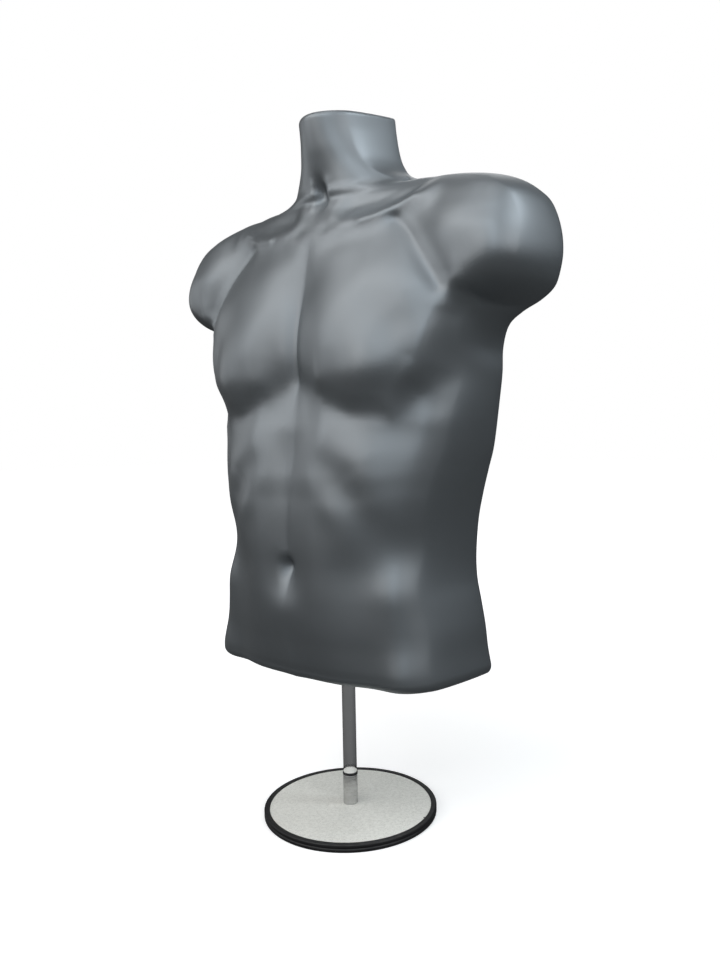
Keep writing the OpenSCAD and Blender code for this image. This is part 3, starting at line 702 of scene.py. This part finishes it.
tail = new_object("rubber_tail", tail_points, tail_faces, False)
finish_piece(tail, "rubber_edge", "base")

RING_WALL = 0.0025
POLE_WALL = 0.001


def tube(name, inner, low, high, roundings, segments):
    """A turned piece between the corners low and high of a CAD node's box."""
    profile = [(inner, low.z), (high.x, low.z), (high.x, high.z), (inner, high.z)]
    return lathe(name, rounded(profile, roundings), segments)


stub = tube("stub_tube", PIN, stub_low, stub_high, [0, 0.0003, 0.0008, 0], 96)
finish_piece(stub, "zinc_steel", "base", "post_stub")
ring_inner = stub_high.x - RING_WALL
joint = tube("dark_ring", ring_inner, ring_low, ring_high, [0, 0.0007, 0.0007, 0], 96)
finish_piece(joint, "rubber_edge", "base", "joint_ring")
pole_inner = pole_high.x - POLE_WALL
pole = tube("chrome_pole", pole_inner, pole_low, pole_high, [0, 0.0004, 0.0004, 0], 128)
finish_piece(pole, "chrome_tube", "base", "lower_pole")

# ---- Floor, light and camera -----------------------------------------------------
FLOOR = 12.0          # half the floor's width
FLOOR_BOUNCE = 0.14   # what the floor throws back on the object
ROOM_LIGHT = 0.03     # what the room around throws on it
floor_corners = [(-FLOOR, -FLOOR, 0), (FLOOR, -FLOOR, 0), (FLOOR, FLOOR, 0), (-FLOOR, FLOOR, 0)]
floor = new_object("floor", floor_corners, [(0, 1, 2, 3)], False)


def for_camera(tree, shown, lit):
    """Mixes two shaders: one that the camera sees, and one that lights the object."""
    path = tree.nodes.new("ShaderNodeLightPath")
    mixed = tree.nodes.new("ShaderNodeMixShader")
    tree.links.new(path.outputs["Is Camera Ray"], mixed.inputs["Fac"])
    tree.links.new(lit, mixed.inputs[1])
    tree.links.new(shown, mixed.inputs[2])
    return mixed.outputs[0]


floor_look = Nodes("floor_white")
floor_pale = floor_look.ramp(floor_look.noise(2.0), [(0.3, 0.90), (0.7, 0.91)])
floor_look.set(Base_Color=floor_pale, Roughness=0.9)
dim_floor = floor_look.tree.nodes.new("ShaderNodeBsdfDiffuse")
dim_floor.inputs["Color"].default_value = (FLOOR_BOUNCE, FLOOR_BOUNCE, FLOOR_BOUNCE, 1)
from_middle = floor_look.tree.nodes.new("ShaderNodeVectorMath")
from_middle.operation = "LENGTH"
floor_look.link(floor_look.coordinates, from_middle.inputs[0])
# the floor glows more with distance, so that it runs into the white background
glow = floor_look.to_range(from_middle.outputs["Value"], 0.40, 1.0, 0.3, 2.0)
floor_look.set(Emission_Color=(1.0, 1.0, 1.0), Emission_Strength=glow)
floor_look.link(for_camera(floor_look.tree, floor_look.shader.outputs[0], dim_floor.outputs[0]),
                floor_look.tree.nodes["Material Output"].inputs["Surface"])
floor.data.materials.append(floor_look.material)

world = bpy.data.worlds.new("studio")
bpy.context.scene.world = world
world.use_nodes = True
backdrop = world.node_tree.nodes["Background"]
backdrop.inputs["Color"].default_value = (1, 1, 1, 1)
backdrop.inputs["Strength"].default_value = 1.0
room = world.node_tree.nodes.new("ShaderNodeBackground")
room.inputs["Color"].default_value = (0.94, 0.97, 1.0, 1)
room.inputs["Strength"].default_value = ROOM_LIGHT
world.node_tree.links.new(for_camera(world.node_tree, backdrop.outputs[0], room.outputs[0]),
                          world.node_tree.nodes["World Output"].inputs["Surface"])

AIM = Vector((0, -0.05, 0.5))
LIGHT_DISTANCE = 2.4
LIGHT_SIZE = 1.1
BRIGHTNESS = 1.07
COOL = (0.90, 0.96, 1.0)
WARM = (1.0, 0.98, 0.96)
NEUTRAL = (1.0, 1.0, 1.0)
# Name, azimuth (0 in front of the form, 90 on its left side) and elevation in degrees,
# power in watts, and colour
LIGHTS = [
    ("overhead_back", 109, 48, 16.5, COOL),
    ("overhead_side", 40, 50, 9, COOL),
    ("overhead_front", 0, 50, 7, NEUTRAL),
    ("overhead_far", -40, 50, 10, WARM),
    ("front", 0, 20, 9.5, WARM),
    ("front_far", -40, 20, 8.5, NEUTRAL),
    ("front_side", 40, 20, 9, COOL),
    ("side", 80, 20, 8.5, NEUTRAL),
    ("back_side", 120, 20, 5, COOL),
    ("low_far", -80, 10, 4, NEUTRAL),
    ("behind", -150, 40, 7, NEUTRAL),
    ("overhead", 0, 85, 6, NEUTRAL),
]
for name, azimuth, elevation, power_w, colour in LIGHTS:
    a, e = math.radians(azimuth), math.radians(elevation)
    towards = Vector((math.sin(a) * math.cos(e), -math.cos(a) * math.cos(e), math.sin(e)))
    light = bpy.data.lights.new(name, "AREA")
    light.size = LIGHT_SIZE
    light.energy = power_w * BRIGHTNESS
    light.color = colour
    lamp = bpy.data.objects.new(name, light)
    bpy.context.scene.collection.objects.link(lamp)
    lamp.location = AIM + towards * LIGHT_DISTANCE
    lamp.rotation_euler = towards.to_track_quat("Z", "Y").to_euler()

# Camera: direction, tilt and roll, distance, height and place to the side
CAMERA_AZIMUTH = math.radians(38.6)
CAMERA_DOWN = math.radians(5.1)
CAMERA_ROLL = math.radians(0.9)
CAMERA_DISTANCE = 0.915
CAMERA_HEIGHT = 0.439
CAMERA_SIDEWAYS = 0.0472
SENSOR = 24.0
LENS = 20.0
SHIFT_X, SHIFT_Y = -0.0270833, 0.0302083    # in shares of the picture's height

right = Vector((math.cos(CAMERA_AZIMUTH), math.sin(CAMERA_AZIMUTH), 0))
ahead = Vector((-math.sin(CAMERA_AZIMUTH), math.cos(CAMERA_AZIMUTH), 0))
forward = ahead * math.cos(CAMERA_DOWN) - Vector((0, 0, 1)) * math.sin(CAMERA_DOWN)
upward = Vector((0, 0, 1)) * math.cos(CAMERA_DOWN) + ahead * math.sin(CAMERA_DOWN)
level = Matrix((right, upward, -forward)).transposed().to_4x4()
turn = level @ Matrix.Rotation(-CAMERA_ROLL, 4, "Z")
camera_data = bpy.data.cameras.new("camera")
camera = bpy.data.objects.new("camera", camera_data)
bpy.context.scene.collection.objects.link(camera)
eye = right * CAMERA_SIDEWAYS - ahead * CAMERA_DISTANCE + Vector((0, 0, CAMERA_HEIGHT))
camera.matrix_world = Matrix.Translation(eye) @ turn
camera_data.sensor_fit = "VERTICAL"
camera_data.sensor_height = SENSOR
camera_data.lens = LENS
camera_data.shift_x, camera_data.shift_y = SHIFT_X, SHIFT_Y
bpy.context.scene.camera = camera
bpy.context.scene.view_settings.view_transform = "Standard"
